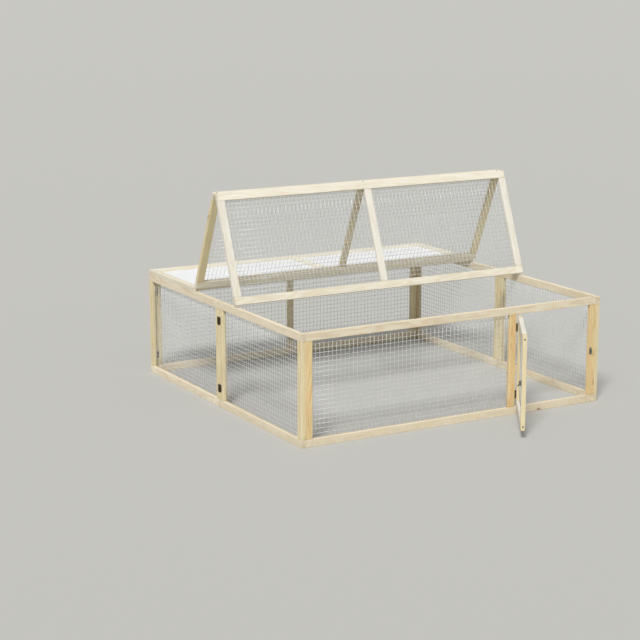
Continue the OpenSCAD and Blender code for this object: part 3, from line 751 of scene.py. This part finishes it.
# Whiter still: painted sunlight and sheen, for the sunlit front roof panel's uprights and the
# door's rails
SUNLIT_PINE = pine("sunlit_pine", (0.79, 0.77, 0.70), (0.71, 0.65, 0.53), 4.0, 0.015, 0.2, 0.0)
BOARD = surface("board", paint_group(), 0.15, gloss=0.15)
WIRE = surface("wire", zinc_group(), 0.05, metallic=0.35)
HINGE = fitting("hinge", 0.8, 0.05, (0.085, 0.06, 0.04), (0.32, 0.24, 0.15), (0.16, 0.13, 0.1))
STEEL = fitting("bolt", 0.85, 0.05, (0.26, 0.25, 0.235), (0.56, 0.54, 0.51), (0.28, 0.25, 0.21))
SCREW = fitting("screw", 0.8, 0.04, (0.12, 0.095, 0.07), (0.4, 0.34, 0.26), (0.18, 0.15, 0.12))

# ---- Wooden frames -------------------------------------------------------------------------------
FIRST_SEED = 11
seeds = itertools.count(FIRST_SEED)


def wood(node, body, placed, material=PINE):
    """The battens that stand for one CAD node."""
    make(node + "_wood", body, material, placed, next(seeds), [node])


def frame_cut(w):
    """Where the groove of a frame's batten begins and ends, along its length w."""
    return BATTEN_W - SEAT, w - BATTEN_W + SEAT


def wooden_frame(body, panel, w, h, rails=PALE_PINE, uprights=PINE, middle=False):
    """Two through rails and the stiles between them. A middle stile is thinner than the others."""
    length = h - 2 * BATTEN_W
    rail, stile = batten(w, frame_cut(w)), batten(length, "through")
    wood(body + "_rails", body,
         [(panel @ rail_low(), rail), (panel @ rail_high(w, h), rail)], rails)
    stiles = [(panel @ stile_left(0, BATTEN_W, length), stile),
              (panel @ stile_right(w, BATTEN_W), stile)]
    if middle:
        thin = batten(length, t=GROOVE[0])
        stiles.append((panel @ stile_right((w + BATTEN_W) / 2, BATTEN_W), thin))
    wood(body + "_stiles", body, stiles, uprights)


upright = batten(STILE_H, "through")
thin_upright = batten(STILE_H, t=GROOVE[0])
front_cut = (BATTEN_W - SEAT, POST_X + SEAT)
turned_cut = (FRONT_W - front_cut[1], FRONT_W - front_cut[0])
wood("front_top_rail", "front_wall",
     [(FRONT @ rail_high(FRONT_W, WALL_H), batten(FRONT_W, turned_cut))], PALE_PINE)
wood("front_bottom_rail", "front_wall",
     [(FRONT @ rail_low(), batten(FRONT_W, front_cut))], PALE_PINE)
wood("front_left_stile", "front_wall",
     [(FRONT @ stile_left(0, BATTEN_W, STILE_H), upright)], KNOTTY_PINE)
wood("front_door_post", "front_wall",
     [(FRONT @ stile_right(POST_X + BATTEN_W, BATTEN_W), upright)], KNOTTY_PINE)
wood("front_right_stile", "front_wall",
     [(FRONT @ stile_right(FRONT_W, BATTEN_W), batten(STILE_H))], KNOTTY_PINE)

door_stile = batten(DOOR_H, frame_cut(DOOR_H))
door_rail = batten(DOOR_W - 2 * BATTEN_W, "through")
wood("door_hinge_stile", "door", [(DOOR @ stile_left(0, 0, DOOR_H), door_stile)])
wood("door_latch_stile", "door", [(DOOR @ stile_right(DOOR_W, 0), door_stile)])
# The door's rails take the whiter sunlit pine: a painted sheen on their faces
wood("door_bottom_rail", "door", [(DOOR @ rail_low(BATTEN_W), door_rail)], SUNLIT_PINE)
wood("door_top_rail", "door",
     [(DOOR @ rail_high(DOOR_W - BATTEN_W, DOOR_H), door_rail)], SUNLIT_PINE)

back_rail = batten(FRONT_W, frame_cut(FRONT_W))
wood("back_top_rail", "back_wall", [(BACK @ rail_high(FRONT_W, WALL_H), back_rail)], PALE_PINE)
wood("back_bottom_rail", "back_wall", [(BACK @ rail_low(), back_rail)], PALE_PINE)
wood("back_stiles", "back_wall",
     [(BACK @ stile_left(0, BATTEN_W, STILE_H), upright),
      (BACK @ stile_right(FRONT_W, BATTEN_W), upright),
      (BACK @ stile_right((FRONT_W + BATTEN_W) / 2, BATTEN_W), thin_upright)])

for side, panel in SIDES.items():
    wooden_frame(side, panel, HALF_L, WALL_H)
# Painted light and shade: each roof panel's uprights take a pine for how that panel is lit, the
# shaded middle panel's the warmer wall pine, the sunlit front panel's the whiter sunlit pine
ROOF = {"roof_rear": (ROOF_REAR, PALE_SUNLIT_ROOF_PINE), "roof_middle": (ROOF_MIDDLE, PINE),
        "roof_front": (ROOF_FRONT, SUNLIT_PINE)}
for stem, (panel, uprights) in ROOF.items():
    wooden_frame(stem, panel, RUN_W, ROOF_L, PALE_SUNLIT_ROOF_PINE, uprights, middle=True)

BOARD_PLAY, BOARD_ARRIS, BOARD_SAWN = 0.1, 0.4, 0.3
board_edge = BATTEN_W - BOARD_REACH
board = batten(RUN_W / 2 - BATTEN_W + BOARD_REACH - BOARD_GAP / 2, w=ROOF_L - 2 * board_edge,
               t=BOARD_T, arris=BOARD_ARRIS, sawn=BOARD_SAWN)
for name, x in (("left", board_edge), ("right", (RUN_W + BOARD_GAP) / 2)):
    place = ROOF_REAR @ move(x, GROOVE[0] + BOARD_PLAY, board_edge)
    make("roof_board_%s_panel" % name, "roof_rear", BOARD, [(place, board)],
         next(seeds), ["roof_board_" + name])

# ---- Welded wire ---------------------------------------------------------------------------------
# Each sheet's stem, body and panel, the right edge of its opening and the panel's height.
SHEETS = [("front", "front_wall", FRONT, POST_X, WALL_H),
          ("door", "door", DOOR, DOOR_W - BATTEN_W, DOOR_H),
          ("back", "back_wall", BACK, FRONT_W - BATTEN_W, WALL_H)]
SHEETS += [(side, side, panel, HALF_L - BATTEN_W, WALL_H) for side, panel in SIDES.items()]
SHEETS += [(stem, stem, ROOF[stem][0], RUN_W - BATTEN_W, ROOF_L)
           for stem in ("roof_middle", "roof_front")]
for stem, body, panel, right, h in SHEETS:
    seed = next(seeds)
    forms = mesh_sheet(BATTEN_W, right, BATTEN_W, h - BATTEN_W, np.random.default_rng(seed))
    make(stem + "_wires", body, WIRE, [(panel, f) for f in forms], seed, [stem + "_mesh"])


# ---- Hinges --------------------------------------------------------------------------------------
def at(places, *turns):
    """Each place, followed by the same turns."""
    for t in turns:
        places = [m @ t for m in places]
    return places


def mirrored(places):
    return [MIRROR @ m for m in places]


def with_middle(places):
    """Places on the flat roof, moved to where its middle panel is drawn up."""
    return [MIDDLE_TURN @ m for m in places]


def on_right(rows):
    return [(mirrored(places), forms) for places, forms in rows]


high = (HINGE_INSET, WALL_H - HINGE_INSET)
wide = (ROOF_HINGE_INSET, RUN_W - ROOF_HINGE_INSET)
corner = BATTEN_T + KNUCKLE_R
back_corner = [move(corner, RUN_D - corner, z) for z in high]
side_middle = [move(-KNUCKLE_R, RUN_D / 2, z) for z in high]
front_corner = [move(corner, corner, z) for z in high]
door_side = [move(DOOR_AXIS[0], DOOR_AXIS[1], z)
             for z in (DOOR_Z + HINGE_INSET - BATTEN_W, DOOR_Z + DOOR_H - HINGE_INSET + BATTEN_W)]
lid = [move(x, *LID_AXIS[1:]) for x in wide]
valley = [move(x, *VALLEY[1:]) for x in wide]
ridge = [move(x, *RIDGE[1:]) for x in wide]
flip, x90, x270 = turn("x", 180), turn("x", 90), turn("x", -90)
y90, y270 = turn("y", 90), turn("y", -90)
z90, z270 = turn("z", 90), turn("z", -90)

plain, centre = leaf(), leaf(middle=True)
slim, slim_centre = leaf(w=CORNER_LEAF_W), leaf(middle=True, w=CORNER_LEAF_W)
loose_centre = leaf(middle=True, w=CORNER_LEAF_W, bore=CLOSING_BORE)
butt, butt_centre = leaf(seat=DOOR_GAP / 2), leaf(middle=True, seat=DOOR_GAP / 2)
rear_half = [(at(back_corner, z270), slim_centre), (at(side_middle, z90), plain)]
front_half = [(at(side_middle, z270, flip), centre), (at(front_corner, z90, flip), slim)]

LEAVES = {
    "back": ("back_wall", [(at(back_corner, flip), slim), (mirrored(at(back_corner, flip)), slim),
                           (at(lid, y90), plain)]),
    "left_rear": ("left_rear", rear_half),
    "left_front": ("left_front", front_half),
    "right_rear": ("right_rear", on_right(rear_half)),
    "right_front": ("right_front", on_right(front_half)),
    "front": ("front_wall", [(front_corner, slim_centre), (mirrored(front_corner), loose_centre),
                             (at(door_side, z90, flip), butt)]),
    "door": ("door", [([DOOR_TURN @ m for m in at(door_side, z90)], butt_centre)]),
    "roof_rear": ("roof_rear", [(at(lid, y270), centre), (at(valley, z90, x90), plain)]),
    "roof_middle": ("roof_middle", [(with_middle(at(valley, z270, x90)), centre),
                                    (with_middle(at(ridge, z90, x270)), plain)]),
    "roof_front": ("roof_front", [([FRONT_TURN @ m for m in at(ridge, z270, x270)], centre)]),
}
PINS = {
    "back": ("back_wall", back_corner + mirrored(back_corner) + at(lid, y90)),
    "left_rear": ("left_rear", side_middle),
    "left_front": ("left_front", front_corner),
    "right_rear": ("right_rear", mirrored(side_middle)),
    "right_front": ("right_front", mirrored(front_corner)),
    "door": ("front_wall", door_side),
    "roof_rear": ("roof_rear", at(valley, y90)),
    "roof_middle": ("roof_middle", with_middle(at(ridge, y90))),
}
SCREW_TWIST = 37      # degrees for each mm of height, so that no two recesses look the same way
HINGE_SCREW_R = 2.1
screws = {}
for stem, (body, rows) in LEAVES.items():
    placed = []
    for places, forms in rows:
        plate = forms[0].corners.max(0)
        for m in places:
            placed += [(RUN @ m, f) for f in forms]
            for z in (-HINGE_H / 4, HINGE_H / 4):
                spot = move((LEAF_X + plate[0]) / 2, plate[1], z) @ turn("y", SCREW_TWIST * z)
                screws.setdefault(body, []).append((RUN @ m @ spot, screw(HINGE_SCREW_R)))
    make(stem + "_hinge_leaves_metal", body, HINGE, placed, next(seeds),
         [stem + "_hinge_leaves"])
for stem, (body, places) in PINS.items():
    make(stem + "_hinge_pins_metal", body, HINGE, [(RUN @ m, pin()) for m in places],
         next(seeds), [stem + "_hinge_pins"])

# ---- Screws of the frames and the bolt -----------------------------------------------------------
FRAME_SCREW_R, FRAME_SCREW_PROUD, SCREW_STRAY = 3.0, 0.2, 0.8
SCREW_SEED = 5
rng = np.random.default_rng(SCREW_SEED)


def frame_screw(body, panel, x, z, facing):
    """A screw in a batten's outer edge; facing turns +y to the way it looks in the panel."""
    stray = rng.uniform(-SCREW_STRAY, SCREW_STRAY)
    place = panel @ move(x, BATTEN_T / 2 + stray, z) @ facing @ turn("y", rng.uniform(0, 90))
    screws.setdefault(body, []).append((place, screw(FRAME_SCREW_R, FRAME_SCREW_PROUD)))


up, down, rightward, leftward = turn("x", 90), turn("x", -90), turn("z", -90), turn("z", 90)
half_w = BATTEN_W / 2
for x in (half_w, POST_X + half_w, FRONT_W - half_w):
    frame_screw("front_wall", FRONT, x, WALL_H, up)
for x in (half_w, FRONT_W / 2, FRONT_W - half_w):
    frame_screw("back_wall", BACK, x, WALL_H, up)
for side, panel in SIDES.items():
    for x in (half_w, HALF_L - half_w):
        frame_screw(side, panel, x, WALL_H, up)
for stem, (panel, _) in ROOF.items():
    for x in (half_w, RUN_W / 2, RUN_W - half_w):
        frame_screw(stem, panel, x, ROOF_L, up)
        frame_screw(stem, panel, x, 0, down)
for z in (half_w, DOOR_H - half_w):
    frame_screw("door", DOOR, 0, z, leftward)
    frame_screw("door", DOOR, DOOR_W, z, rightward)
for body, placed in screws.items():
    make(body + "_screws", body, SCREW, placed, next(seeds))

PLATE_SCREW_R, KEEPER_SCREW_R, BOLT_SCREW_TWIST = 2.2, 1.7, 200
outward = turn("z", 180)
bolt_x = DOOR_W - BOLT_L - BOLT_EDGE
keeper_x = FRONT_W - BATTEN_W + BOLT_EDGE
for name, body, panel, x0, length, z0, r in (
        ("bolt_plate_screws", "door", DOOR, bolt_x, BOLT_L, BOLT_Z - DOOR_Z, PLATE_SCREW_R),
        ("bolt_keeper_screws", "front_wall", FRONT, keeper_x, KEEPER_L, BOLT_Z, KEEPER_SCREW_R)):
    placed = [(panel @ move(x0 + length * part, -PLATE_T, z0 + z) @ outward
               @ turn("y", BOLT_SCREW_TWIST * part), screw(r))
              for part in (0.25, 0.75) for z in (-PLATE_SCREW_Z, PLATE_SCREW_Z)]
    make(name, body, STEEL, placed, next(seeds))
for node in ("bolt_plate", "bolt_rod", "bolt_keeper"):
    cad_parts[node].material_slots[0].material = STEEL

# ---- Floor, light and camera ---------------------------------------------------------------------
FLOOR_REACH = 40                        # metres
FLOOR_COLOUR, FLOOR_ROUGH = (0.49, 0.49, 0.47, 1), 0.9
SUN_STRENGTH, SUN_SPREAD, SUN_TURN = 2.7, 15, (42, 0, -42)
AIR_COLOUR, AIR_LIGHT = (1.0, 0.985, 0.95, 1), 0.45
AIR_SEEN, AIR_MIRRORED = 0.12, 0.45     # added where the camera sees it, and in reflections
SENSOR, FOCAL_LENGTH = 36, 98.41
EYE = (-2665.18, -4830.75, 1642.52)     # in the run's own frame
# the camera's right, its up and its back as columns
CAMERA_TURN = ((0.870015, 0.10665, -0.481351),
               (-0.493023, 0.185797, -0.849946),
               (-0.001213, 0.976783, 0.214227))

ground = bpy.data.meshes.new("floor")
ground.from_pydata([(-FLOOR_REACH, -FLOOR_REACH, 0), (FLOOR_REACH, -FLOOR_REACH, 0),
                    (FLOOR_REACH, FLOOR_REACH, 0), (-FLOOR_REACH, FLOOR_REACH, 0)],
                   [], [(0, 1, 2, 3)])
pale = bpy.data.materials.new("floor")
pale.use_nodes = True
shader = pale.node_tree.nodes["Principled BSDF"]
shader.inputs["Base Color"].default_value = FLOOR_COLOUR
shader.inputs["Roughness"].default_value = FLOOR_ROUGH
ground.materials.append(pale)
floor = add("floor", ground)

light = bpy.data.lights.new("key", "SUN")
light.energy, light.angle = SUN_STRENGTH, math.radians(SUN_SPREAD)
add("key", light).rotation_euler = [math.radians(angle) for angle in SUN_TURN]

world = bpy.data.worlds.new("studio")
world.use_nodes = True
sky = Net(world.node_tree)
ray = sky.node("ShaderNodeLightPath").outputs
seen = sky.calc("MULTIPLY_ADD", ray["Is Camera Ray"], AIR_SEEN, AIR_LIGHT)
in_mirror = sky.calc("ADD", ray["Is Glossy Ray"], ray["Is Transmission Ray"], clamp=True)
strength = sky.calc("MULTIPLY_ADD", in_mirror, AIR_MIRRORED, seen)
backdrop = world.node_tree.nodes["Background"]
backdrop.inputs["Color"].default_value = AIR_COLOUR
world.node_tree.links.new(strength, backdrop.inputs["Strength"])
bpy.context.scene.world = world
bpy.context.scene.view_settings.view_transform = "Standard"

lens = bpy.data.cameras.new("camera")
lens.sensor_width, lens.lens = SENSOR, FOCAL_LENGTH
camera = add("camera", lens)
where = RUN @ (*EYE, 1)
camera.matrix_world = Matrix([(*row, x) for row, x in zip(CAMERA_TURN, where)] + [(0, 0, 0, 1)])
bpy.context.scene.camera = camera
